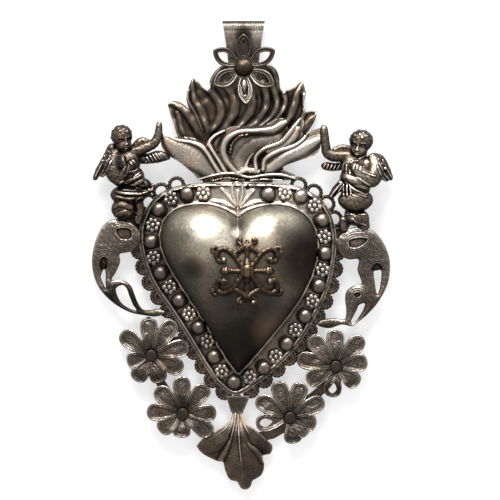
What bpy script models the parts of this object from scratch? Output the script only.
# Ex-voto heart in pressed and cast silver, to hang on a wall.
# Metres, +Z up. The front faces -Y, and Y = 0 is the wall, where the back plate lies.
# "Depth" below is the distance in front of the wall, so a depth d lies at Y = -d.
import math

import bpy
import bmesh
import numpy as np
from mathutils import Vector
from mathutils.geometry import delaunay_2d_cdt

# Driving dimensions: the heart
HEART_WIDTH = 0.0840
HEART_HEIGHT = 0.0909
DOME_HEIGHT = 0.0155
DOME_SHOULDER = 0.0012
DOME_SHEET = 0.0007
BORDER_SHEET = 0.0007
BORDER_RIDGE = 0.0011
BORDER_RIDGE_INSET = 0.0008
BORDER_INNER_LIP = 0.0004
FAN_RIB = 0.0012
BOSS_COUNT = 32
PLAIN_BOSS_RADIUS = 0.0033
FLOWER_BOSS_RADIUS = 0.0029

# Driving dimensions: carriers and fasteners
PLATE_THICKNESS = 0.0008
PLATE_MARGIN = 0.0022
TONGUE_WIDTH = 0.0300
STRIP_THICKNESS = 0.0008
STRIP_WIDTH = 0.0040
EDGING_WIRE = 0.0013
EDGING_LOOP_RADIUS = 0.0038
EDGING_LOOPS = 32
EDGING_RISE = 0.0006
EDGING_BAND = 0.0032
CLEARANCE = 0.0003
RUNNING_CLEARANCE = 0.0003
RIVET_RADIUS = 0.0009
RIVET_TAIL_RADIUS = 0.0020
RIVET_TAIL_THICKNESS = 0.0005
POST_RADIUS = 0.0014
PIN_RADIUS = 0.0006
PIN_HEAD_RADIUS = 0.0011
PIN_HEAD_HEIGHT = 0.0007
PIN_TAIL_GAP = 0.0012
PIN_TAIL_THICKNESS = 0.0004

# Driving dimensions: flames, strap and rosette
FLAME_WIDTH = 0.0684
FLAME_HEIGHT = 0.0497
REAR_SHEET = 0.0008
REAR_FOLD = 0.0021
FRONT_SHEET = 0.0009
FRONT_FOLD = 0.0030
FRONT_LEAN = 0.0026
FLAME_FOLD_HALF_WIDTH = 0.0024
STRAP_MARGIN = 0.0022
STRAP_TOP_WIDTH = 0.0183
STRAP_WIDTH = 0.0128
STRAP_THICKNESS = 0.0006
STRAP_RISE = 0.0200
ROSETTE_RADIUS = 0.0155
ROSETTE_CUP = 0.0028
ROSETTE_WIRE = 0.0014
ROSETTE_THICKNESS = 0.0010
ROSETTE_STUD_RADIUS = 0.0040
ROSETTE_STUD_HEIGHT = 0.0034

# Driving dimensions: figures and leaf work
PUTTO_HEIGHT = 0.0460
SCROLL_WIDTH = 0.0314
SCROLL_HEIGHT = 0.0412
SCROLL_THICKNESS = 0.0012
SCROLL_CURL = 0.0024
SCROLL_RIB = 0.0011
SCROLL_RIB_HALF_WIDTH = 0.0030
FLOWER_RADIUS = 0.0166
FLOWER_PETAL_WIDTH = 0.0062
FLOWER_THICKNESS = 0.0009
FLOWER_DISH = 0.0022
FLOWER_STUD_RADIUS = 0.0024
FLOWER_STUD_HEIGHT = 0.0013
PALMETTE_WIDTH = 0.0328
PALMETTE_HEIGHT = 0.0332
PALMETTE_THICKNESS = 0.0009
PALMETTE_RIB = 0.0016
PALMETTE_RIB_HALF_WIDTH = 0.0018
TAB_WIDTH = 0.0102
TAB_HEIGHT = 0.0077
TAB_THICKNESS = 0.0007
ORNAMENT_WIDTH = 0.0300
ORNAMENT_HEIGHT = 0.0262
ORNAMENT_STROKE = 0.0022
ORNAMENT_FLATNESS = 0.75
ORNAMENT_PAD = 1.6

# Finishes: colour and roughness
BRIGHT_SILVER = ((0.56, 0.52, 0.46), 0.32)
WORN_SILVER = ((0.36, 0.33, 0.29), 0.42)
DARK_SILVER = ((0.16, 0.14, 0.12), 0.50)
GILT = ((0.40, 0.27, 0.16), 0.38)

# How fine the meshes are: steps along outlines and crests, and the least distance between two inner points
HEART_STEP = 0.0034
RIDGE_STEP = 0.0045
DOME_STEP = 0.0046
OUTLINE_STEP = 0.0026
CREST_STEP = 0.0038
LEAST_SPACING = 0.0019
EDGE_MARGIN = 0.0008
PUTTO_VOXEL = 0.00080
PUTTO_FACES_KEPT = 0.09
ORNAMENT_VOXEL = 0.00042
ORNAMENT_FACES_KEPT = 0.10

# The stack from the wall outwards, each layer one clearance in front of the last
STRIP_BACK = PLATE_THICKNESS + CLEARANCE
STRIP_FRONT = STRIP_BACK + STRIP_THICKNESS
ORNAMENT_BACK = STRIP_FRONT + CLEARANCE
EDGING_FRONT = ORNAMENT_BACK + EDGING_WIRE
BORDER_BACK = EDGING_FRONT + CLEARANCE
DOME_EDGE = BORDER_BACK + BORDER_SHEET + BORDER_INNER_LIP + DOME_SHOULDER
STRAP_BACK = RIVET_TAIL_THICKNESS + RUNNING_CLEARANCE
REAR_TOP_BACK = STRAP_BACK + STRAP_THICKNESS + RUNNING_CLEARANCE
STRAP_FRONT_BACK = REAR_TOP_BACK + REAR_SHEET + RUNNING_CLEARANCE
ROSETTE_BACK = STRAP_FRONT_BACK + STRAP_THICKNESS + RUNNING_CLEARANCE
STUD_SEAT = ROSETTE_BACK + ROSETTE_THICKNESS + RUNNING_CLEARANCE

# The outlines are drawn on a square grid, y down, on which the heart is this wide and this high
GRID_CENTRE = (237.5, 290.0)
GRID_HEART = (197.7, 213.9)

# The heart's outer edge, the line of its bosses and the edge of its dome, from the top clockwise
HEART_OUTER = [(237.5, 181.5), (262, 182), (285, 183.5), (303, 188), (320, 198), (331, 213), (336.3, 235),
               (335, 260), (329, 288), (316, 316), (300, 343), (281, 364), (260, 382), (237.4, 395.4),
               (220, 387), (205, 367), (188, 339), (170, 311), (153, 286), (142.5, 260), (138.7, 238),
               (141, 221), (150, 202), (166, 189.5), (187, 184), (210, 182)]
BOSS_LINE = [(268.3, 194), (284.3, 192.6), (300, 196), (313.5, 204), (321.5, 217.8), (325, 240), (323.5, 266),
             (314, 299), (297, 329), (277, 356), (251.5, 377), (233, 382.5), (220, 369), (207, 341),
             (187.5, 312), (166.5, 283), (152.5, 256), (151.5, 230), (158.5, 209), (171, 198), (186, 194),
             (203, 193)]
DOME_EDGE_LINE = [[(238, 219), (246, 212.5), (258, 208), (275, 205.5), (293, 208.5), (308, 219), (316, 236),
                   (316.5, 256), (309, 280), (293, 308), (272, 334), (253, 357), (238, 373)],
                  [(238, 373), (223, 352), (206, 323), (184, 289), (168, 262), (161, 240), (164, 222),
                   (176, 210.5), (193, 205.5), (210, 205.7), (224, 210), (232, 214.5), (238, 219)]]
DOME_CENTRE = (237.5, 268.0)
FAN_RIBS = [[(236.5, 208), (228, 197), (220, 188)], [(236.5, 206), (233.5, 195), (231, 185)],
            [(238.5, 206), (240.5, 195), (242, 185)], [(239.5, 208), (246, 198), (252, 189)]]

# The flames. The rear sheet has four tongues and a round crown, the front one three curling tongues
FLAME_ANCHOR = (237.5, 181.0)
GRID_FLAME = (161.0, 117.0)
STUD_POINT = (243.5, 66.5)
FLAME_REAR_OUTLINE = [[(167, 104), (172, 100.5), (180, 101.5), (189, 109)],
                      [(189, 109), (186, 98), (188, 87), (192, 77)],
                      [(192, 77), (197, 80), (203, 87), (208, 90)],
                      [(208, 90), (210, 78), (216, 69), (226, 62.5), (243, 59.5), (262, 61.5), (274, 66),
                       (279, 75), (280, 86), (283, 91)],
                      [(283, 91), (292, 87), (303, 80)],
                      [(303, 80), (306, 92), (304, 103), (306, 112)],
                      [(306, 112), (311, 109.5), (318, 111)],
                      [(318, 111), (314, 122), (306, 134), (294, 150), (282, 163)],
                      [(282, 163), (240, 166), (200, 160)],
                      [(200, 160), (188, 148), (178, 137), (173, 122), (167, 104)]]
REAR_FOLDS = [[(170, 104), (180, 112), (188, 124), (192, 138)], [(192, 82), (196, 96), (206, 112), (206, 128)],
              [(210, 92), (218, 104), (219, 118), (212, 132)], [(226, 96), (236, 106), (234, 118), (222, 130)],
              [(254, 100), (257, 110), (252, 120), (240, 128)], [(272, 96), (274, 108), (268, 120)],
              [(284, 94), (289, 108), (290, 122)], [(302, 84), (297, 100), (293, 116)],
              [(316, 112), (307, 122), (300, 134)]]
FOLD_FOOT = (240.0, 132.0)
FLAME_FRONT_OUTLINE = [[(161, 131), (168, 136.5), (178, 137), (190, 137), (199, 140), (206, 145)],
                       [(206, 145), (209, 139), (216, 133), (224, 129.5)],
                       [(224, 129.5), (234, 126), (250, 126), (264, 124.5), (275, 119.5), (283, 118),
                        (287.5, 122), (287, 129), (284, 135)],
                       [(284, 135), (289, 128), (294, 122), (301, 117)],
                       [(301, 117), (304, 122), (302, 132), (306, 136)],
                       [(306, 136), (312, 130), (321, 127)],
                       [(321, 127), (320, 149), (310, 157), (297, 161), (283, 167.5), (296, 175), (298, 180)],
                       [(298, 180), (262, 180.5), (240, 180), (215, 180.5), (197, 180)],
                       [(197, 180), (192, 173), (181, 163), (168, 155), (161, 146), (161, 131)]]
FLAME_FRONT_TOP = (283.0, 118.0)
FRONT_FOLDS = [[(164, 136), (180, 140), (196, 144), (206, 153), (212, 170)],
               [(210, 145), (213, 155), (222, 170)], [(222, 168), (217.5, 152), (221, 136), (234, 129)],
               [(234, 129), (250, 129), (266, 127), (282, 121)], [(231, 152), (236, 141), (247, 135)],
               [(247, 135), (262, 135.5), (275, 131), (283, 126)], [(256, 166), (258, 153), (270, 145), (283, 141)],
               [(283, 141), (291, 131), (299, 120)], [(270, 166), (277, 154), (292, 151), (303, 146)],
               [(303, 146), (311, 135), (319, 129)], [(292, 160), (308, 154), (319, 144)],
               [(200, 178), (222, 174), (245, 172), (270, 173), (294, 177)]]

# The figures: anchor at the feet, then body masses as (x, y, depth, half width, half depth, half height)
# and limbs as chains of (x, y, depth, radius), all on the grid
GRID_PUTTO = 108.0
PUTTO_LEFT_ANCHOR = (126.0, 228.0)
PUTTO_RIGHT_ANCHOR = (350.0, 230.0)
PUTTO_LEFT_MASSES = [(122, 136.5, 18, 11, 11, 12.5), (121, 131, 16, 11.5, 10, 9), (126, 162, 15, 14, 10.5, 13.5),
                     (126, 177, 15, 14.5, 11.5, 11.5), (128, 191, 13, 19, 9.5, 10)]
PUTTO_LEFT_LIMBS = [[(123, 148, 14, 7), (125, 156, 13, 9)],
                    [(133, 153, 14, 7.5), (148, 147, 14, 6.2), (155, 139, 14, 5), (158, 127, 14, 4)],
                    [(116, 155, 14, 7), (112, 168, 19, 6), (123, 173, 24, 5), (131, 168, 25, 4.5)],
                    [(119, 155, 10, 5), (108, 157, 8, 7), (100, 166, 7, 6), (97, 175, 7, 4)],
                    [(132, 161, 10, 5), (148, 157, 8, 7), (162, 157, 8, 5)],
                    [(118, 196, 13, 10), (117, 206, 12, 7.5), (122, 211, 11, 5.5)],
                    [(136, 196, 13, 10), (134, 207, 11, 7)]]
PUTTO_RIGHT_MASSES = [(360, 144, 18, 12, 11.5, 13), (361, 138, 16, 12.5, 10.5, 9.5),
                      (362, 170, 15, 15, 11, 15), (357, 185, 14, 15, 11, 10), (353, 199, 13, 19, 10, 10)]
PUTTO_RIGHT_LIMBS = [[(361, 156, 14, 7), (361, 162, 13, 9)],
                     [(352, 160, 14, 7), (338, 156, 14, 6.2), (328, 151, 14, 5.2), (326.5, 131, 14, 3.6)],
                     [(374, 160, 14, 7), (380, 172, 18, 6.2), (368, 174, 24, 5.4), (355, 169, 25, 4.8)],
                     [(370, 162, 10, 5.5), (381, 167, 8, 6.5), (386, 177, 7, 4.5)],
                     [(354, 166, 10, 5.5), (340, 164, 8, 6), (328, 164, 8, 5)],
                     [(352, 190, 16, 6), (342, 190, 18, 5.5), (336, 194, 16, 4.5)],
                     [(346, 204, 13, 9), (343, 213, 12, 6.5), (343, 219, 11, 5.0)],
                     [(360, 205, 13, 10), (363, 212, 12, 7), (361, 218, 11, 5.2)]]

# The scrolls: the outline, then the pierced holes, then the crest lines. Both are drawn on the left one's size
GRID_SCROLL = (74.0, 97.0)
SCROLL_LEFT_ANCHOR = (165.0, 312.0)
SCROLL_LEFT_LOOPS = [[(140, 241), (138, 231), (131, 222.5), (121, 219), (110, 220.5), (101, 229), (94, 243),
                      (91, 260), (93, 276), (100, 292), (112, 304.5), (128, 312), (146, 316), (158, 316.5),
                      (165, 312), (158, 308.5), (150, 310), (142, 308), (137, 303), (134, 294), (130, 285.5),
                      (122, 281), (112, 280), (118, 272), (121, 262), (119, 253.5), (130, 252.5), (137, 248)],
                     [(114, 232), (122, 228.5), (130, 231), (130, 237.5), (121, 239)],
                     [(102, 259), (108.5, 260), (108, 275), (105, 289), (101, 275)],
                     [(116, 290), (121, 286), (126, 290), (130, 302), (133, 308), (121, 302)]]
SCROLL_LEFT_CRESTS = [[(134, 244), (133, 231), (121, 223), (108, 228), (98, 244), (95.5, 262), (98, 278),
                       (110, 297), (128, 309), (148, 313)], [(113, 244), (111, 262), (109, 278)], [(126, 243), (116, 246)]]
SCROLL_RIGHT_ANCHOR = (318.0, 324.0)
SCROLL_RIGHT_LOOPS = [[(336.5, 246), (339, 236.5), (347, 230), (360, 225.5), (371, 229), (381, 238.5), (389, 253),
                       (391.5, 268), (388, 284), (380, 302), (370, 314), (360, 323), (352, 328.5), (340, 326.5),
                       (328, 330), (317, 326), (322, 320), (334, 319.5), (345, 320), (346.5, 311), (346.5, 298),
                       (350, 289), (357, 286), (361, 280), (358, 271), (358.5, 260), (348, 259), (341, 256)],
                      [(350, 243), (355, 237.5), (368, 239), (361, 247), (352, 248)],
                      [(376, 271), (383, 273), (381, 289), (378, 297), (375, 284)],
                      [(360, 306), (366.5, 305), (364, 314), (356, 324), (352, 323), (358, 313)]]
SCROLL_RIGHT_CRESTS = [[(341, 250), (344, 237), (360, 230), (373, 236), (383, 252), (387, 268), (384, 286),
                        (374, 304), (360, 316)], [(366, 256), (368, 274), (368, 292)], [(353, 300), (352, 312), (340, 323)]]

# The flowers: centre on the grid, then each petal's bearing in degrees and length as a share of the radius
GRID_FLOWER = 39.0
FLOWERS = {
    "upper_left": ((150.7, 356.0), [(94, 39), (56, 42), (14, 39.5), (-25, 35), (-71, 29), (-122, 30), (-164, 25),
                                    (143, 38)]),
    "lower_left": ((182.2, 414.4), [(91, 38), (48, 38), (1, 34), (-35, 36), (-93, 24), (-144, 29), (176, 36),
                                    (135, 37)]),
    "upper_right": ((336.2, 367.0), [(91, 38), (48, 40), (9, 32), (-39, 29), (-99, 31), (-152, 33), (168, 40),
                                     (130, 40)]),
    "lower_right": ((290.3, 418.6), [(110, 39), (71, 37.5), (28, 38.5), (-15, 27), (-47, 24), (-82, 26),
                                     (-169, 35), (150, 39)]),
}
FLOWER_LIFT = {"upper_left": 0.0, "lower_left": 1.0, "upper_right": 1.0, "lower_right": 0.0}

# The foot
PALMETTE_ANCHOR = (237.0, 404.0)
PALMETTE_GRID = (77.0, 90.0)
PALMETTE_OUTLINE = [[(231, 401), (231, 413), (230, 421), (222, 427.5), (213, 433.5), (203, 439), (196, 447)],
                    [(196, 447), (202, 454.5), (215, 461.5), (223, 463)],
                    [(223, 463), (225.5, 473), (229.5, 480.5), (237, 483)],
                    [(237, 483), (240.5, 489), (245, 491), (250, 488.5), (252.7, 481.8)],
                    [(252.7, 481.8), (261, 476.4), (264.2, 468), (262.5, 456.5)],
                    [(262.5, 456.5), (270.5, 454.5), (272.5, 447), (266, 440), (257, 432), (248, 425), (243.5, 418),
                     (243, 401)],
                    [(243, 401), (231, 401)]]
PALMETTE_RIBS = [[(234, 416), (222, 437), (203, 447)], [(235.5, 418), (230, 445), (228, 468)],
                 [(237, 414), (236, 430), (241, 455), (244, 484)], [(240, 418), (250, 440), (257, 465)],
                 [(241, 416), (252, 434), (267, 448)]]
TAB_OUTLINE = [(226, 396.5), (250, 396.5), (243.5, 412), (240, 414.5), (234, 414.5), (230.5, 412)]

# The gilt openwork: half of its strokes as chains of (x, y, share of the stroke), mirrored on its own axis
ORNAMENT_CENTRE = (247.0, 271.0)
GRID_ORNAMENT = (70.0, 62.0)
ORNAMENT_STROKES = [[(0, -31, 0.6), (0, -24, 1.0), (0, -12, 0.9), (0, 0, 2.6), (0, 12, 0.9), (0, 24, 1.0),
                     (0, 31, 0.6)],
                    [(0, 0, 1.2), (8, -9, 1.0), (15, -18, 1.0), (24, -22, 1.0), (30, -17, 1.0), (28, -10, 0.9),
                     (21, -11, ORNAMENT_PAD)],
                    [(0, 0, 1.2), (8, 9, 1.0), (15, 18, 1.0), (24, 22, 1.0), (30, 17, 1.0), (28, 10, 0.9),
                     (21, 11, ORNAMENT_PAD)],
                    [(0, 0, 1.2), (12, 0, 0.9), (24, 0, 1.2), (35, 0, 0.5)],
                    [(14, -17, 0.9), (7, -21, 0.9), (0, -26, 1.1)], [(14, 17, 0.9), (7, 21, 0.9), (0, 26, 1.1)]]
PIN_POINTS = [(21, -11), (-21, 11)]

# Carriers: the path of each strip and bracket on the grid, and the posts
STRIP_PATHS = {
    "strip_left": [(200, 336), (180, 341), (161, 346), (150.7, 356), (155, 374), (166, 393), (182.2, 414.4),
                   (200, 429), (214, 438), (227, 434), (235, 422), (237, 410), (237, 399)],
    "strip_right": [(290, 350), (312, 354), (330, 358), (336.2, 367), (331, 381), (316, 396), (301, 407),
                    (290.3, 418.6), (282, 430), (268, 437), (252, 438)],
    "bracket_left": [(152, 237), (141, 233), (129, 222), (127, 202)],
    "bracket_right": [(324, 240), (335, 235), (347, 224), (352, 202)],
}
BORDER_POST_BOSSES = (2, 7, 14, 17, 24, 30)
FLAME_POST_POINTS = [(216, 158), (262, 158)]
PALMETTE_RIVET_POINT = (237.0, 404.5)


def metal(name, finish):
    """A worn metal as the one Principled material of the object with this name."""
    colour, roughness = finish
    made = bpy.data.materials.new(f"{name}_metal")
    made.use_nodes = True
    shader = made.node_tree.nodes["Principled BSDF"]
    shader.inputs["Base Color"].default_value = (*colour, 1.0)
    shader.inputs["Metallic"].default_value = 1.0
    shader.inputs["Roughness"].default_value = roughness
    made.diffuse_color = (*colour, 1.0)
    return made


def on_heart(points):
    """Grid points to metres, stretched with the heart's width and height."""
    p = np.atleast_2d(np.array(points, float))
    x = (p[:, 0] - GRID_CENTRE[0]) * HEART_WIDTH / GRID_HEART[0]
    z = (GRID_CENTRE[1] - p[:, 1]) * HEART_HEIGHT / GRID_HEART[1]
    return np.column_stack([x, z])


def placer(anchor, grid_size, size):
    """A function from grid points to metres: the anchor follows the heart, the rest the piece's own size."""
    seat = on_heart(anchor)[0]
    scale = (size[0] / grid_size[0], size[1] / grid_size[1])

    def place(points):
        p = np.atleast_2d(np.array(points, float))[:, :2]
        x = seat[0] + (p[:, 0] - anchor[0]) * scale[0]
        z = seat[1] + (anchor[1] - p[:, 1]) * scale[1]
        return np.column_stack([x, z])

    return place


def curve_through(points, closed=False):
    """Dense points on a smooth curve through the given ones (Catmull-Rom)."""
    p = np.array(points, float)
    if closed:
        p = np.vstack([p[-1:], p, p[:2]])
    else:
        p = np.vstack([2 * p[0] - p[1], p, 2 * p[-1] - p[-2]])
    t = np.linspace(0, 1, 16, endpoint=False)[:, None]
    spans = []
    for a, b, c, d in zip(p[:-3], p[1:-2], p[2:-1], p[3:]):
        spans.append(b + 0.5 * ((c - a) * t + (2 * a - 5 * b + 4 * c - d) * t**2 + (3 * b - a - 3 * c + d) * t**3))
    curve = np.vstack(spans)
    return curve if closed else np.vstack([curve, p[-2]])


def in_steps(curve, step, closed=False, axes=2):
    """Points about one step apart along a curve. A closed one does not repeat its first point."""
    path = np.vstack([curve, curve[:1]]) if closed else curve
    lengths = np.concatenate([[0], np.cumsum(np.linalg.norm(np.diff(path[:, :axes], axis=0), axis=1))])
    count = max(3 if closed else 1, round(lengths[-1] / step))
    at = np.linspace(0, lengths[-1], count + 1)
    spread = np.column_stack([np.interp(at, lengths, path[:, k]) for k in range(path.shape[1])])
    return spread[:-1] if closed else spread


def smooth_loop(points, step):
    return in_steps(curve_through(points, closed=True), step, closed=True)


def cornered_loop(stretches, place, step):
    """A closed outline of smooth stretches that meet at sharp corners."""
    return np.vstack([in_steps(curve_through(place(stretch)), step)[:-1] for stretch in stretches])


def distance_to(points, path, closed=False):
    """Least distance from each point to a path."""
    ends = np.roll(path, -1, axis=0) if closed else path[1:]
    starts = path if closed else path[:-1]
    run = ends - starts
    off = points[:, None, :] - starts[None]
    share = np.clip((off * run).sum(2) / np.maximum((run * run).sum(1), 1e-18), 0, 1)
    return np.linalg.norm(off - share[..., None] * run[None], axis=2).min(1)


def is_inside(points, loops):
    """Even-odd test against all loops together."""
    inside = np.zeros(len(points), bool)
    for loop in loops:
        for a, b in zip(loop, np.roll(loop, -1, axis=0)):
            crosses = (a[1] > points[:, 1]) != (b[1] > points[:, 1])
            rise = b[1] - a[1] if b[1] != a[1] else 1e-18
            inside ^= crosses & (points[:, 0] < a[0] + (points[:, 1] - a[1]) / rise * (b[0] - a[0]))
    return inside


def ridges(points, paths, half_width):
    """Height from 0 to 1 of round ridges along the paths."""
    height = np.zeros(len(points))
    for path in paths:
        near = np.clip(1 - (distance_to(points, path) / half_width) ** 2, 0, 1)
        height = np.maximum(height, near)
    return height


def kept_inside(points, loops, margin):
    """Those of the points that lie inside the outline, at least one margin from its edges."""
    points = points[is_inside(points, loops)]
    for loop in loops:
        if len(points):
            points = points[distance_to(points, loop, closed=True) > margin]
    return points


def spaced_out(points, least):
    """Drops each point that lies too near an earlier one."""
    kept = []
    for point in points:
        if all(math.dist(point, other) > least for other in kept):
            kept.append(point)
    return np.array(kept) if kept else np.zeros((0, 2))


def between(a, b, shares):
    """Points midway between two curves, at the same shares of both."""
    rows = [curve[[round(share * (len(curve) - 1)) for share in shares]] for curve in (a, b)]
    return (rows[0] + rows[1]) / 2


def triangles_of(loops, inner):
    """Triangles between the loops, with the inner points as extra corners."""
    points = np.vstack([*loops, inner]) if len(inner) else np.vstack(loops)
    edges = []
    start = 0
    for loop in loops:
        edges += [(start + k, start + (k + 1) % len(loop)) for k in range(len(loop))]
        start += len(loop)
    found = delaunay_2d_cdt([Vector(p) for p in points], edges, [], 0, 1e-8)
    source = [origins[0] for origins in found[3]]
    faces = np.array([[source[k] for k in face] for face in found[2]])
    faces = faces[is_inside(points[faces].mean(1), loops)]
    a, b, c = points[faces[:, 0]], points[faces[:, 1]], points[faces[:, 2]]
    turned = (b[:, 0] - a[:, 0]) * (c[:, 1] - a[:, 1]) - (b[:, 1] - a[:, 1]) * (c[:, 0] - a[:, 0]) < 0
    faces[turned] = faces[turned][:, ::-1]
    return points, faces


def add_object(name, points, faces, finish, origin=(0.0, 0.0, 0.0)):
    """A smooth closed mesh as an object. Its points are given in world metres."""
    mesh = bpy.data.meshes.new(name)
    mesh.from_pydata([tuple(np.array(p) - np.array(origin)) for p in points], [], [tuple(map(int, f)) for f in faces])
    shape = bmesh.new()
    shape.from_mesh(mesh)
    bmesh.ops.recalc_face_normals(shape, faces=shape.faces[:])
    shape.to_mesh(mesh)
    shape.free()
    mesh.shade_smooth()
    mesh.set_sharp_from_angle(angle=math.radians(35))
    mesh.materials.append(metal(name, finish))
    made = bpy.data.objects.new(name, mesh)
    made.location = origin
    bpy.context.scene.collection.objects.link(made)
    return made


def sheet(name, loops, front, back, finish, front_inner=None, back_inner=None, origin=(0.0, 0.0, 0.0)):
    """A solid between two surfaces over one outline: front and back give the depth at each point."""
    empty = np.zeros((0, 2))
    front_points, front_faces = triangles_of(loops, empty if front_inner is None else front_inner)
    back_points, back_faces = triangles_of(loops, empty if back_inner is None else back_inner)
    points = np.vstack([np.column_stack([front_points[:, 0], -front(front_points), front_points[:, 1]]),
                        np.column_stack([back_points[:, 0], -back(back_points), back_points[:, 1]])])
    offset = len(front_points)
    faces = [tuple(f) for f in front_faces] + [tuple(offset + f[::-1]) for f in back_faces]
    start = 0
    for loop in loops:
        for k in range(len(loop)):
            i, j = start + k, start + (k + 1) % len(loop)
            faces.append((j, i, offset + i, offset + j))
        start += len(loop)
    return add_object(name, points, faces, finish, origin)


def circle(centre, radius, count):
    angles = np.linspace(0, 2 * math.pi, count, endpoint=False)
    return np.column_stack([centre[0] + radius * np.cos(angles), centre[1] + radius * np.sin(angles)])


def turned(name, centre, profile, finish, count=16):
    """A solid turned about a line along Y. The profile holds (radius, depth) pairs from one pole to the other."""
    points = [(centre[0], -profile[0][1], centre[1])]
    for radius, depth in profile[1:-1]:
        points += [(x, -depth, z) for x, z in circle(centre, radius, count)]
    points.append((centre[0], -profile[-1][1], centre[1]))
    rings = len(profile) - 2
    faces = []
    for k in range(count):
        m = (k + 1) % count
        faces.append((0, 1 + k, 1 + m))
        for ring in range(rings - 1):
            low, high = 1 + ring * count, 1 + (ring + 1) * count
            faces.append((low + k, high + k, high + m, low + m))
        last = 1 + (rings - 1) * count
        faces.append((last + k, len(points) - 1, last + m))
    return add_object(name, points, faces, finish, (centre[0], 0.0, centre[1]))


def domed(radius, height, seat, steps=4):
    """Profile of a domed head that stands on a seat, from its rim to its pole."""
    angles = np.linspace(0, math.pi / 2, steps + 1)
    return [(radius * math.cos(a), seat + height * math.sin(a)) for a in angles[:-1]] + [(0.0, seat + height)]


def rivet(name, centre, head_radius, head_height, seat, tail_front, finish, count=14):
    """A rivet: tail disc behind, shank, and domed head in front."""
    tail_back = tail_front - RIVET_TAIL_THICKNESS
    profile = [(0.0, tail_back), (RIVET_TAIL_RADIUS, tail_back), (RIVET_TAIL_RADIUS, tail_front),
               (RIVET_RADIUS, tail_front), (RIVET_RADIUS, seat)]
    return turned(name, centre, profile + domed(head_radius, head_height, seat), finish, count)


def post(name, centre, back, front):
    profile = [(0.0, back), (POST_RADIUS, back), (POST_RADIUS, front), (0.0, front)]
    return turned(name, centre, profile, WORN_SILVER, 12)


def cut_round(target, centre, radius, back, front):
    """Drills a round hole along Y through an object."""
    cutter = turned(f"cutter_{target.name}", centre, [(0.0, back), (radius, back), (radius, front), (0.0, front)],
                    WORN_SILVER, 12)
    cutter.hide_render = True
    cutter.display_type = "WIRE"
    drill = target.modifiers.new("drill", "BOOLEAN")
    drill.operation = "DIFFERENCE"
    drill.object = cutter


def level(depth):
    """A flat surface at one depth."""
    return lambda p: np.full(len(p), depth)


def widened(loop, distance):
    """A closed loop moved outwards by a distance (inwards if negative)."""
    along = np.roll(loop, -1, axis=0) - np.roll(loop, 1, axis=0)
    normal = np.column_stack([along[:, 1], -along[:, 0]]) / np.linalg.norm(along, axis=1)[:, None]
    area = (loop[:, 0] * np.roll(loop[:, 1], -1) - np.roll(loop[:, 0], -1) * loop[:, 1]).sum()
    return loop + normal * distance * (1 if area > 0 else -1)


def boss_centres():
    """Evenly spaced along the boss line, plain ones and flower ones in turn."""
    boss_line = curve_through(on_heart(BOSS_LINE))
    lengths = np.concatenate([[0], np.cumsum(np.linalg.norm(np.diff(boss_line, axis=0), axis=1))])
    centres = in_steps(boss_line, lengths[-1] / (BOSS_COUNT - 1))
    radii = [PLAIN_BOSS_RADIUS if k % 2 == 0 else FLOWER_BOSS_RADIUS for k in range(len(centres))]
    return list(zip(centres, radii))


def make_border():
    """Pressed border: outer ridge, channel, bosses, inner lip, and the fan between the two lobes."""
    outer = smooth_loop(on_heart(HEART_OUTER), HEART_STEP)
    inner = widened(cornered_loop(DOME_EDGE_LINE, on_heart, HEART_STEP), CLEARANCE)
    bosses = boss_centres()
    ridge_line = widened(smooth_loop(on_heart(HEART_OUTER), RIDGE_STEP), -BORDER_RIDGE_INSET)
    ribs = [on_heart(rib) for rib in FAN_RIBS]

    def front(p):
        from_ridge = distance_to(p, ridge_line, closed=True)
        from_inner = distance_to(p, inner, closed=True)
        height = BORDER_RIDGE * np.clip(1 - (from_ridge / BORDER_RIDGE_INSET) ** 2, 0, 1)
        height = np.maximum(height, BORDER_INNER_LIP * np.clip(1 - from_inner / BORDER_RIDGE, 0, 1))
        height = np.maximum(height, FAN_RIB * ridges(p, ribs, FAN_RIB))
        for centre, radius in bosses:
            off = np.linalg.norm(p - centre, axis=1)
            height = np.maximum(height, np.sqrt(np.clip(radius**2 - off**2, 0, None)))
        return BORDER_BACK + BORDER_SHEET + height

    corners = []
    for centre, radius in bosses:
        corners += [np.array([centre]), circle(centre, 0.62 * radius, 6), circle(centre, 0.995 * radius, 8)]
    ribbed = []
    for rib in ribs:
        crest = in_steps(rib, CREST_STEP)
        ribbed += [crest, crest[1:] + (FAN_RIB, 0), crest[1:] - (FAN_RIB, 0)]
    ridge_row = ridge_line[[all(math.dist(p, c) > r for c, r in bosses) for p in ridge_line]]
    front_inner = np.vstack([*corners, ridge_row, spaced_out(np.vstack(ribbed), LEAST_SPACING / 2)])
    front_inner = kept_inside(front_inner, [outer, inner], EDGE_MARGIN / 4)
    return sheet("heart_border", [outer, inner], front, level(BORDER_BACK), WORN_SILVER, front_inner)


def dome_depth(points):
    """Depth of the dome's outer face. It rises as 1 - r^2.2 to the power 0.55 from its edge to its middle."""
    edge = cornered_loop(DOME_EDGE_LINE, on_heart, DOME_STEP / 3)
    centre = on_heart(DOME_CENTRE)[0]
    return DOME_EDGE + DOME_HEIGHT * puff(edge_share(points, edge, centre))


def edge_share(points, edge, centre):
    """How far out each point lies between the centre, 0, and the edge, 1."""
    bearing = np.arctan2(edge[:, 1] - centre[1], edge[:, 0] - centre[0])
    order = np.argsort(bearing)
    reach = np.linalg.norm(edge - centre, axis=1)[order]
    at = np.arctan2(points[:, 1] - centre[1], points[:, 0] - centre[0])
    limit = np.interp(at, bearing[order], reach, period=2 * math.pi)
    return np.linalg.norm(points - centre, axis=1) / limit


def puff(share):
    return np.clip(1 - np.clip(share, 0, 1) ** 2.2, 0, 1) ** 0.55


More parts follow.
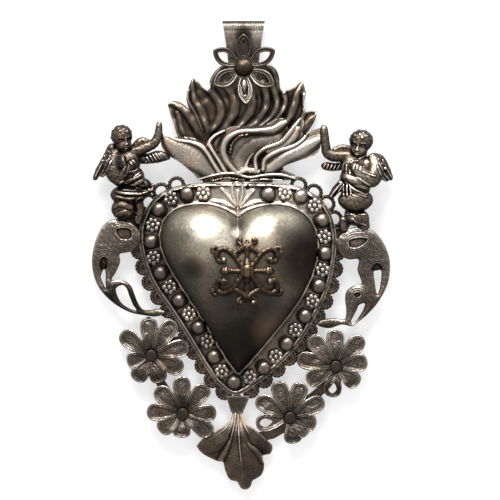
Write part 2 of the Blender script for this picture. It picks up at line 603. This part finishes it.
def make_dome():
    """Puffed shell that stands on the back plate, open behind."""
    edge = cornered_loop(DOME_EDGE_LINE, on_heart, DOME_STEP)
    centre = on_heart(DOME_CENTRE)[0]
    foot = PLATE_THICKNESS + CLEARANCE
    shares = [0.95, 0.82, 0.60, 0.32]
    inward = widened(edge, -DOME_SHEET)

    def rings(rim, sheet_depth):
        made = [np.column_stack([rim[:, 0], np.full(len(rim), -foot), rim[:, 1]]),
                np.column_stack([rim[:, 0], np.full(len(rim), -DOME_EDGE + sheet_depth), rim[:, 1]])]
        for share in shares:
            ring = centre + (rim - centre) * share
            made.append(np.column_stack([ring[:, 0], sheet_depth - DOME_EDGE - DOME_HEIGHT * puff(
                np.full(len(rim), share)), ring[:, 1]]))
        return np.vstack(made), (centre[0], sheet_depth - DOME_EDGE - DOME_HEIGHT, centre[1])

    outer_points, outer_pole = rings(edge, 0.0)
    inner_points, inner_pole = rings(inward, DOME_SHEET)
    points = np.vstack([outer_points, [outer_pole], inner_points, [inner_pole]])
    count = len(edge)
    offset = len(outer_points) + 1
    faces = []
    for k in range(count):
        m = (k + 1) % count
        for ring in range(len(shares) + 1):
            low, high = ring * count, (ring + 1) * count
            faces.append((low + k, high + k, high + m, low + m))
            faces.append((offset + low + m, offset + high + m, offset + high + k, offset + low + k))
        last = (len(shares) + 1) * count
        faces.append((last + k, offset - 1, last + m))
        faces.append((offset + last + m, len(points) - 1, offset + last + k))
        faces.append((k, m, offset + m, offset + k))
    dome = add_object("heart_dome", points, faces, BRIGHT_SILVER)
    for x, z in pin_centres():
        cut_round(dome, (x, z), PIN_RADIUS + CLEARANCE, DOME_EDGE, DOME_EDGE + DOME_HEIGHT + CLEARANCE)
    return dome


def make_back_plate():
    """Flat heart with a tongue that runs up behind the flames, to just below the strap's foot."""
    heart = widened(smooth_loop(on_heart(HEART_OUTER), RIDGE_STEP), -PLATE_MARGIN)
    stud = flame_place()(STUD_POINT)[0]
    middle = on_heart(FLAME_ANCHOR)[0]
    half = TONGUE_WIDTH / 2
    round_off = TONGUE_WIDTH / 8
    top = stud[1] - STRAP_WIDTH / 2 - 2 * STRIP_WIDTH / 2
    neck = middle[0] + np.array([-half, -half, round_off - half, half - round_off, half, half])
    rise = np.array([middle[1] - PLATE_MARGIN, top - round_off, top, top, top - round_off, middle[1] - PLATE_MARGIN])
    outside = (np.abs(heart[:, 0] - middle[0]) > half + EDGE_MARGIN) | (heart[:, 1] < 0)
    outline = np.vstack([heart[outside], np.column_stack([neck, rise])])
    return sheet("back_plate", [outline], level(PLATE_THICKNESS), level(0.0), DARK_SILVER)


def edging_frame(side):
    """Half of the border's edge from top to tip, with its outward normals."""
    outer = smooth_loop(on_heart(HEART_OUTER), EDGING_WIRE / 2)
    along = np.roll(outer, -1, axis=0) - np.roll(outer, 1, axis=0)
    normal = np.column_stack([-along[:, 1], along[:, 0]]) / np.linalg.norm(along, axis=1)[:, None]
    half = np.flatnonzero(outer[:, 0] * side > EDGING_WIRE)
    if side < 0:
        half = half[::-1]
    return outer[half], normal[half]


def make_edging(side):
    """A row of loops of twisted wire, as a band with a hole through each loop."""
    line, normal = edging_frame(side)
    lengths = np.concatenate([[0], np.cumsum(np.linalg.norm(np.diff(line, axis=0), axis=1))])
    count = EDGING_LOOPS // 2
    start = abs(on_heart((289, 0))[0][0])
    pitch = (lengths[-1] - start) / count

    def at(run, off):
        base = np.column_stack([np.interp(run, lengths, line[:, k]) for k in (0, 1)])
        away = np.column_stack([np.interp(run, lengths, normal[:, k]) for k in (0, 1)])
        away /= np.linalg.norm(away, axis=1)[:, None]
        return base + away * np.array(off)[:, None]

    radius = min(EDGING_LOOP_RADIUS, 0.47 * pitch)
    bow = np.radians([0, 35, 65, 90, 115, 145, 180])
    runs, offs, holes = [], [], []
    for k in range(count):
        middle = start + (k + 0.5) * pitch - EDGING_WIRE / 2
        runs += list(middle - radius * np.cos(bow))
        offs += list(EDGING_RISE + radius * np.sin(bow))
        eye = radius - EDGING_WIRE
        holes.append(at(middle - eye * np.cos(bow[[0, 1, 3, 5, 6]]), EDGING_RISE + eye * np.sin(bow[[0, 1, 3, 5, 6]])))
    inner_runs = np.linspace(runs[-1], runs[0], count * 2)
    outline = np.vstack([at(np.array(runs), np.array(offs)), at(inner_runs, np.full(len(inner_runs), -EDGING_BAND))])
    name = "edging_right" if side > 0 else "edging_left"
    return sheet(name, [outline, *holes], level(EDGING_FRONT), level(ORNAMENT_BACK), DARK_SILVER)


def flame_place():
    return placer(FLAME_ANCHOR, GRID_FLAME, (FLAME_WIDTH, FLAME_HEIGHT))


def make_flame_rear():
    """Tall sheet of tongues with draped folds, flat behind the strap and behind the front flames."""
    place = flame_place()
    stud = place(STUD_POINT)[0]
    outline = cornered_loop(FLAME_REAR_OUTLINE, place, OUTLINE_STEP)
    hole = circle(stud, RIVET_RADIUS + RUNNING_CLEARANCE, 10)
    folds = [curve_through(place(fold)) for fold in REAR_FOLDS]
    flat = STRAP_WIDTH / 2 + STRAP_MARGIN
    slope = 2 * REAR_FOLD
    low = place(FOLD_FOOT)[0][1]

    def back(p):
        away = np.linalg.norm(p - stud, axis=1)
        near_stud = np.clip((flat + slope - away) / slope, 0, 1)
        base = STRIP_BACK + (REAR_TOP_BACK - STRIP_BACK) * near_stud
        lift = np.clip((away - flat) / slope, 0, 1) * np.clip((p[:, 1] - low) / slope, 0, 1)
        return base + REAR_FOLD * ridges(p, folds, FLAME_FOLD_HALF_WIDTH) * lift

    def front(p):
        return back(p) + REAR_SHEET

    crests = np.vstack([in_steps(fold, CREST_STEP) for fold in folds])
    troughs = np.vstack([between(a, b, (0.1, 0.4, 0.7, 1.0)) for a, b in zip(folds[:-1], folds[1:])])
    ledge = place([(x, FOLD_FOOT[1]) for x in range(186, 300, 14)])
    inner = np.vstack([circle(stud, flat, 10), ledge, crests, troughs])
    inner = spaced_out(kept_inside(inner, [outline, hole], 1.5 * EDGE_MARGIN), LEAST_SPACING)
    return sheet("flame_rear", [outline, hole], front, back, DARK_SILVER, inner, inner)


def front_base(points):
    """Back face of the front flames: it leans forward towards the top."""
    low, high = flame_place()([FLAME_ANCHOR, FLAME_FRONT_TOP])[:, 1]
    return BORDER_BACK + FRONT_LEAN * np.clip((points[:, 1] - low) / (high - low), 0, 1)


def make_flame_front():
    """Lower cluster: a left sweep, a middle curl and a right sweep, over a frill."""
    place = flame_place()
    outline = cornered_loop(FLAME_FRONT_OUTLINE, place, OUTLINE_STEP)
    folds = [curve_through(place(fold)) for fold in FRONT_FOLDS]

    def front(p):
        return front_base(p) + FRONT_SHEET + FRONT_FOLD * ridges(p, folds, FLAME_FOLD_HALF_WIDTH)

    crests = np.vstack([in_steps(fold, CREST_STEP) for fold in folds])
    grid = np.mgrid[-10:11, 0:9].reshape(2, -1).T * CREST_STEP + place(FLAME_ANCHOR)[0]
    inner = kept_inside(spaced_out(np.vstack([crests, grid]), LEAST_SPACING), [outline], EDGE_MARGIN)
    return sheet("flame_front", [outline], front, front_base, BRIGHT_SILVER, inner)


def cup(radius):
    """How far the rosette's petals, and the strap behind them, stand forward at a distance from the stud."""
    return ROSETTE_CUP * np.clip((radius - ROSETTE_STUD_RADIUS) / (ROSETTE_RADIUS - ROSETTE_STUD_RADIUS), 0, 1)


def strap_line():
    """The strap's middle line as (height over the stud, depth), from the front foot over the top to the back foot."""
    front = STRAP_FRONT_BACK + STRAP_THICKNESS / 2
    back = STRAP_BACK + STRAP_THICKNESS / 2
    wall = CLEARANCE + STRAP_THICKNESS / 2
    foot = STRAP_WIDTH / 2
    bend = (front + ROSETTE_CUP - wall) / 2
    shoulder = STRAP_RISE - STRAP_THICKNESS / 2 - bend
    rows = [(-share * foot, front) for share in (1.0, 0.86, 0.5, 0.0)]
    rows += [(height, front + cup(height)) for height in np.linspace(ROSETTE_STUD_RADIUS, shoulder, 4)]
    rows += [(shoulder + bend * math.sin(a), wall + bend * (1 + math.cos(a))) for a in np.radians(range(30, 180, 30))]
    rows += [(height, wall) for height in (shoulder, shoulder * 0.6, RIVET_TAIL_RADIUS + 2 * STRAP_THICKNESS)]
    rows += [(-share * foot, back) for share in (-0.2, 0.0, 0.5, 0.86, 1.0)]
    return np.array(rows)


def strap_half_width(height):
    """Half width: a round foot below the stud, then a slow flare to the top."""
    foot = -STRAP_WIDTH / 2
    below = np.sqrt(np.clip(1 - (height / foot) ** 2, 0.04, 1)) * STRAP_WIDTH / 2
    flare = np.clip(height / STRAP_RISE, 0, 1) ** 1.3 * (STRAP_TOP_WIDTH - STRAP_WIDTH) / 2
    return np.where(height < 0, below, STRAP_WIDTH / 2 + flare)


def make_bail():
    """The strap folded over into a loop. Its two feet lie before and behind the rear flames."""
    stud = flame_place()(STUD_POINT)[0]
    line = strap_line()
    along = np.gradient(line, axis=0)
    normal = np.column_stack([-along[:, 1], along[:, 0]]) / np.linalg.norm(along, axis=1)[:, None]
    half = strap_half_width(line[:, 0])
    points = []
    for side in (1, -1):
        skin = line + normal * side * STRAP_THICKNESS / 2
        for edge in (1, -1):
            points.append(np.column_stack([stud[0] + edge * half, -skin[:, 1], stud[1] + skin[:, 0]]))
    points = np.vstack(points)
    count = len(line)
    a, b, c, d = 0, count, 2 * count, 3 * count
    faces = [(a, b, d, c), (a + count - 1, c + count - 1, d + count - 1, b + count - 1)]
    for k in range(count - 1):
        for low, high in ((a, b), (b, d), (d, c), (c, a)):
            faces.append((low + k, low + k + 1, high + k + 1, high + k))
    bail = add_object("bail", points, faces, WORN_SILVER, (stud[0], 0.0, stud[1]))
    cut_round(bail, stud, RIVET_RADIUS + RUNNING_CLEARANCE, 0.0, ROSETTE_BACK)
    return bail


def petalled(centre, petals, width, base, count):
    """A star outline of rounded petals. Each petal is (bearing, length); the widest lies at 0.6 of its length."""
    bearings = np.radians([bearing for bearing, _ in petals])
    lengths = np.array([length for _, length in petals])
    angles = []
    for bearing, length in zip(bearings, lengths):
        spread = math.atan2(width / 2, 0.62 * length)
        angles += list(bearing + spread * np.linspace(-1.0, 1.0, count))
    angles = np.unique(np.round(np.array(angles) % (2 * math.pi), 4))
    gaps = np.diff(np.concatenate([angles, angles[:1] + 2 * math.pi]))
    angles = angles[gaps > 0.03]
    reach = np.full(len(angles), base)
    for bearing, length in zip(bearings, lengths):
        off = np.abs((angles - bearing + math.pi) % (2 * math.pi) - math.pi)
        radii = np.linspace(base, length, 60)
        share = (radii - base) / (length - base)
        half = width / 2 * np.sin(math.pi * np.clip(share, 0, 1) ** 0.80) ** 0.55
        fits = half[None] >= radii[None] * np.tan(np.minimum(off, 1.2))[:, None]
        best = np.where(fits, radii[None], base).max(1)
        reach = np.maximum(reach, np.where(off < 0.004, length, best))
    return np.column_stack([centre[0] + reach * np.cos(angles), centre[1] + reach * np.sin(angles)])


def almond(centre, bearing, start, end, width, count=8):
    """A pointed oval hole that lies along a bearing."""
    half = count // 2
    share = np.concatenate([np.linspace(0, 1, half + 1), np.linspace(1, 0, half + 1)[1:-1]])
    side = np.concatenate([np.ones(half + 1), -np.ones(half - 1)])
    off = side * width / 2 * np.sin(math.pi * share ** 0.85)
    run = start + (end - start) * share
    x = centre[0] + run * math.cos(bearing) - off * math.sin(bearing)
    z = centre[1] + run * math.sin(bearing) + off * math.cos(bearing)
    return np.column_stack([x, z])


def make_rosette():
    """Six open petals of wire around the stud."""
    stud = flame_place()(STUD_POINT)[0]
    width = 0.44 * ROSETTE_RADIUS
    bearings = [90 + 60 * k for k in range(6)]
    outline = petalled(stud, [(b, ROSETTE_RADIUS) for b in bearings], width, 0.30 * ROSETTE_RADIUS, 9)
    holes = [almond(stud, math.radians(b), 0.33 * ROSETTE_RADIUS, ROSETTE_RADIUS - 1.5 * ROSETTE_WIRE,
                    width - 2 * ROSETTE_WIRE) for b in bearings]
    bore = circle(stud, RIVET_RADIUS + RUNNING_CLEARANCE, 10)

    def back(p):
        return ROSETTE_BACK + cup(np.linalg.norm(p - stud, axis=1))

    def front(p):
        return back(p) + ROSETTE_THICKNESS

    return sheet("rosette", [outline, bore, *holes], front, back, WORN_SILVER, origin=(stud[0], 0.0, stud[1]))


def make_rosette_stud():
    stud = flame_place()(STUD_POINT)[0]
    return rivet("rosette_stud", stud, ROSETTE_STUD_RADIUS, ROSETTE_STUD_HEIGHT, STUD_SEAT, RIVET_TAIL_THICKNESS,
                 DARK_SILVER, 18)


def lump(shape, centre, radii, detail=2):
    """An ellipsoid added to a bmesh."""
    made = bmesh.ops.create_icosphere(shape, subdivisions=detail, radius=1.0)
    for vert in made["verts"]:
        vert.co = Vector((centre[k] + vert.co[k] * radii[k] for k in range(3)))


def limb(shape, chain):
    """A limb: overlapping balls along a smooth line through (x, y, z, radius) points."""
    for x, y, z, radius in in_steps(curve_through(chain), 0.45 * min(row[3] for row in chain), axes=3):
        lump(shape, (x, y, z), (radius, radius, radius), 1)


def fused(name, shape, voxel, keep, finish):
    """Joins the lumps of a bmesh into one skin and thins its faces out."""
    mesh = bpy.data.meshes.new(name)
    shape.to_mesh(mesh)
    shape.free()
    mesh.materials.append(metal(name, finish))
    made = bpy.data.objects.new(name, mesh)
    bpy.context.scene.collection.objects.link(made)
    skin = made.modifiers.new("skin", "REMESH")
    skin.mode = "VOXEL"
    skin.voxel_size = voxel
    skin.use_smooth_shade = True
    thin = made.modifiers.new("thin", "DECIMATE")
    thin.ratio = keep
    thin.use_collapse_triangulate = True
    return made


def make_putto(name, anchor, masses, limbs):
    """A small cast figure. Its grid depth starts at the carrier that it is soldered to."""
    scale = PUTTO_HEIGHT / GRID_PUTTO
    place = placer(anchor, (1.0, 1.0), (scale, scale))
    shape = bmesh.new()
    for x, y, depth, wide, deep, high in masses:
        px, pz = place((x, y))[0]
        lump(shape, (px, -ORNAMENT_BACK - depth * scale, pz), (wide * scale, deep * scale, high * scale))
    for chain in limbs:
        rows = [(*place((x, y))[0], depth * scale, radius * scale) for x, y, depth, radius in chain]
        limb(shape, [(px, -ORNAMENT_BACK - depth, pz, radius) for px, pz, depth, radius in rows])
    return fused(name, shape, PUTTO_VOXEL, PUTTO_FACES_KEPT, WORN_SILVER)


def make_scroll(name, anchor, grid_loops, grid_crests):
    """Pierced leaf scroll, soldered to the wire edging. Its head curls forward over the border's edge."""
    place = placer(anchor, GRID_SCROLL, (SCROLL_WIDTH, SCROLL_HEIGHT))
    loops = [smooth_loop(place(loop), OUTLINE_STEP) for loop in grid_loops]
    crests = [curve_through(place(crest)) for crest in grid_crests]
    low = place(anchor)[0][1]

    def back(p):
        return BORDER_BACK + SCROLL_CURL * np.clip((p[:, 1] - low) / SCROLL_HEIGHT, 0, 1) ** 1.2

    def front(p):
        return back(p) + SCROLL_THICKNESS + SCROLL_RIB * ridges(p, crests, SCROLL_RIB_HALF_WIDTH)

    inner = np.vstack([in_steps(crest, CREST_STEP) for crest in crests])
    inner = kept_inside(inner, loops, EDGE_MARGIN)
    return sheet(name, loops, front, back, WORN_SILVER, inner)


def flower_back(key):
    return ORNAMENT_BACK + FLOWER_LIFT[key] * (FLOWER_THICKNESS + CLEARANCE)


def make_flower(key):
    """Eight petals of uneven length, dished towards their tips."""
    grid_centre, grid_petals = FLOWERS[key]
    centre = on_heart(grid_centre)[0]
    petals = [(bearing, length * FLOWER_RADIUS / GRID_FLOWER) for bearing, length in grid_petals]
    outline = petalled(centre, petals, FLOWER_PETAL_WIDTH, 0.32 * FLOWER_RADIUS, 7)
    bore = circle(centre, RIVET_RADIUS + CLEARANCE, 8)
    spines = [np.array([centre + length * share * np.array([math.cos(math.radians(bearing)),
                                                            math.sin(math.radians(bearing))])
                        for share in (0.42, 0.72)]) for bearing, length in petals]

    def back(p):
        out = np.linalg.norm(p - centre, axis=1) / FLOWER_RADIUS
        return flower_back(key) + FLOWER_DISH * np.clip((out - 0.2) / 0.55, 0, 1)

    def front(p):
        return back(p) + FLOWER_THICKNESS

    ring = circle(centre, 0.22 * FLOWER_RADIUS, 8)
    inner = kept_inside(np.vstack([*spines, ring]), [outline, bore], EDGE_MARGIN / 2)
    return sheet(f"flower_{key}", [outline, bore], front, back, WORN_SILVER, inner, inner)


def make_flower_stud(key):
    centre = on_heart(FLOWERS[key][0])[0]
    seat = flower_back(key) + FLOWER_THICKNESS + CLEARANCE
    return rivet(f"flower_stud_{key}", centre, FLOWER_STUD_RADIUS, FLOWER_STUD_HEIGHT, seat, STRIP_BACK - CLEARANCE,
                 DARK_SILVER)


def palmette_place():
    return placer(PALMETTE_ANCHOR, PALMETTE_GRID, (PALMETTE_WIDTH, PALMETTE_HEIGHT * PALMETTE_GRID[1] / 78.0))


def make_palmette():
    """Leaf of five lobes on a stem that goes up behind its collar plate."""
    place = palmette_place()
    outline = cornered_loop(PALMETTE_OUTLINE, place, OUTLINE_STEP)
    ribs = [curve_through(place(rib)) for rib in PALMETTE_RIBS]
    rivet_centre = on_heart(PALMETTE_RIVET_POINT)[0]
    rivet_hole = circle(rivet_centre, RIVET_RADIUS + CLEARANCE, 8)
    level_ring = circle(rivet_centre, RIVET_TAIL_RADIUS + CLEARANCE, 8)
    below_tab = tab_place()(TAB_OUTLINE)[:, 1].min()

    def front(p):
        fade = np.clip((below_tab - p[:, 1]) / PALMETTE_RIB, 0, 1)
        return ORNAMENT_BACK + PALMETTE_THICKNESS + PALMETTE_RIB * ridges(p, ribs, PALMETTE_RIB_HALF_WIDTH) * fade

    crests = np.vstack([in_steps(rib, CREST_STEP) for rib in ribs])
    valleys = np.vstack([between(a, b, (0.4, 0.6, 0.8, 1.0)) for a, b in zip(ribs[:-1], ribs[1:])])
    inner = spaced_out(np.vstack([level_ring, crests, valleys]), LEAST_SPACING / 2)
    inner = kept_inside(inner, [outline, rivet_hole], EDGE_MARGIN)
    return sheet("palmette", [outline, rivet_hole], front, level(ORNAMENT_BACK), DARK_SILVER, inner)


def tab_place():
    return placer(PALMETTE_ANCHOR, (24.0, 18.0), (TAB_WIDTH, TAB_HEIGHT))


def tab_back():
    return ORNAMENT_BACK + PALMETTE_THICKNESS + RIVET_TAIL_THICKNESS + 2 * CLEARANCE


def make_palmette_tab():
    """Plain collar plate in front of the stem, below the border's tip."""
    outline = tab_place()(TAB_OUTLINE)
    return sheet("palmette_tab", [outline], level(tab_back() + TAB_THICKNESS), level(tab_back()), DARK_SILVER)


def make_palmette_rivet():
    centre = on_heart(PALMETTE_RIVET_POINT)[0]
    tail = STRIP_BACK - CLEARANCE
    seat = ORNAMENT_BACK + PALMETTE_THICKNESS + CLEARANCE / 2
    profile = [(0.0, tail - RIVET_TAIL_THICKNESS), (RIVET_TAIL_RADIUS, tail - RIVET_TAIL_THICKNESS),
               (RIVET_TAIL_RADIUS, tail), (RIVET_RADIUS, tail), (RIVET_RADIUS, seat), (RIVET_TAIL_RADIUS, seat),
               (RIVET_TAIL_RADIUS, seat + RIVET_TAIL_THICKNESS), (0.0, seat + RIVET_TAIL_THICKNESS)]
    return turned("palmette_rivet", centre, profile, WORN_SILVER, 12)


def ornament_place():
    return placer(ORNAMENT_CENTRE, GRID_ORNAMENT, (ORNAMENT_WIDTH, ORNAMENT_HEIGHT))


def ornament_strokes():
    """All strokes on the grid: those on the axis once, the others on both sides of it."""
    strokes = []
    for stroke in ORNAMENT_STROKES:
        strokes.append(stroke)
        if any(x != 0 for x, _, _ in stroke):
            strokes.append([(-x, y, share) for x, y, share in stroke])
    return strokes


def pin_centres():
    place = ornament_place()
    return [place((ORNAMENT_CENTRE[0] + x, ORNAMENT_CENTRE[1] + y))[0] for x, y in PIN_POINTS]


def make_ornament():
    """Gilt openwork of mirrored scrolls that follows the dome, one clearance in front of it."""
    place = ornament_place()
    shape = bmesh.new()
    for stroke in ornament_strokes():
        rows = [(ORNAMENT_CENTRE[0] + x, ORNAMENT_CENTRE[1] + y, share) for x, y, share in stroke]
        flat = np.column_stack([place(rows), [share * ORNAMENT_STROKE / 2 for _, _, share in rows]])
        for x, z, radius in in_steps(curve_through(flat), ORNAMENT_STROKE / 3):
            thick = radius * ORNAMENT_FLATNESS
            depth = dome_depth(np.array([[x, z]]))[0] + 1.3 * CLEARANCE + thick
            lump(shape, (x, -depth, z), (radius, thick, radius), 1)
    ornament = fused("gilt_ornament", shape, ORNAMENT_VOXEL, ORNAMENT_FACES_KEPT, GILT)
    for x, z in pin_centres():
        near = dome_depth(np.array([[x, z]]))[0]
        cut_round(ornament, (x, z), PIN_RADIUS + CLEARANCE, near - ORNAMENT_STROKE, near + 3 * ORNAMENT_STROKE)
    return ornament


def make_ornament_pin(name, centre):
    """Pin through a volute of the ornament and through the dome, with a flat tail inside."""
    face = dome_depth(np.array([centre]))[0]
    seat = face + 3 * CLEARANCE + ORNAMENT_FLATNESS * ORNAMENT_PAD * ORNAMENT_STROKE
    tail = face - DOME_SHEET - PIN_TAIL_GAP
    profile = [(0.0, tail - PIN_TAIL_THICKNESS), (PIN_HEAD_RADIUS, tail - PIN_TAIL_THICKNESS),
               (PIN_HEAD_RADIUS, tail), (PIN_RADIUS, tail), (PIN_RADIUS, seat)]
    return turned(name, centre, profile + domed(PIN_HEAD_RADIUS, PIN_HEAD_HEIGHT, seat, 3), GILT, 10)


def make_strip(name, grid_path):
    """Flat carrier with round ends."""
    line = in_steps(curve_through(on_heart(grid_path)), RIDGE_STEP)
    along = np.gradient(line, axis=0)
    along /= np.linalg.norm(along, axis=1)[:, None]
    normal = np.column_stack([-along[:, 1], along[:, 0]])
    half = STRIP_WIDTH / 2
    ends = np.radians([60, 20, -20, -60])
    nose = [line[-1] + half * (along[-1] * math.cos(a) + normal[-1] * math.sin(a)) for a in ends]
    tail = [line[0] - half * (along[0] * math.cos(a) + normal[0] * math.sin(a)) for a in ends]
    outline = np.vstack([line + normal * half, nose, (line - normal * half)[::-1], tail])
    holes = [circle(p, RIVET_RADIUS + CLEARANCE, 8) for p in strip_holes(name)]
    return sheet(name, [outline, *holes], level(STRIP_FRONT), level(STRIP_BACK), DARK_SILVER)


def strip_holes(name):
    """Where rivets pass through a strip."""
    if not name.startswith("strip"):
        return []
    side = name.split("_")[1]
    holes = [on_heart(FLOWERS[f"{row}_{side}"][0])[0] for row in ("upper", "lower")]
    if side == "left":
        holes.append(on_heart(PALMETTE_RIVET_POINT)[0])
    return holes


def border_post_seats():
    """Each on the line from its boss to the heart's middle, just inside the edging's band."""
    outer = smooth_loop(on_heart(HEART_OUTER), EDGING_WIRE / 2)
    middle = on_heart(GRID_CENTRE)[0]
    from_edge = EDGING_BAND + 2 * CLEARANCE + POST_RADIUS
    seats = []
    for boss in BORDER_POST_BOSSES:
        centre = boss_centres()[boss][0]
        inward = (middle - centre) / np.linalg.norm(middle - centre)
        for _ in range(3):
            centre = centre + inward * (from_edge - distance_to(centre[None], outer, closed=True)[0])
        seats.append(centre)
    return seats


def make_posts():
    """Spacer posts between the back plate and the raised sheets."""
    foot = PLATE_THICKNESS + CLEARANCE
    for number, centre in enumerate(border_post_seats(), 1):
        post(f"border_post_{number}", centre, foot, BORDER_BACK - CLEARANCE)
    for number, point in enumerate(FLAME_POST_POINTS, 1):
        seat = flame_place()(point)
        back = STRIP_BACK + REAR_SHEET + CLEARANCE
        post(f"flame_post_{number}", seat[0], back, front_base(seat)[0] - CLEARANCE)


def main():
    for old in list(bpy.data.objects):
        bpy.data.objects.remove(old, do_unlink=True)
    make_back_plate()
    make_border()
    make_dome()
    for side in (1, -1):
        make_edging(side)
    make_flame_rear()
    make_flame_front()
    make_bail()
    make_rosette()
    make_rosette_stud()
    make_putto("putto_left", PUTTO_LEFT_ANCHOR, PUTTO_LEFT_MASSES, PUTTO_LEFT_LIMBS)
    make_putto("putto_right", PUTTO_RIGHT_ANCHOR, PUTTO_RIGHT_MASSES, PUTTO_RIGHT_LIMBS)
    make_scroll("scroll_left", SCROLL_LEFT_ANCHOR, SCROLL_LEFT_LOOPS, SCROLL_LEFT_CRESTS)
    make_scroll("scroll_right", SCROLL_RIGHT_ANCHOR, SCROLL_RIGHT_LOOPS, SCROLL_RIGHT_CRESTS)
    for name, path in STRIP_PATHS.items():
        make_strip(name, path)
    for key in FLOWERS:
        make_flower(key)
        make_flower_stud(key)
    make_palmette()
    make_palmette_tab()
    make_palmette_rivet()
    make_ornament()
    for number, centre in enumerate(pin_centres(), 1):
        make_ornament_pin(f"ornament_pin_{number}", centre)
    make_posts()


main()
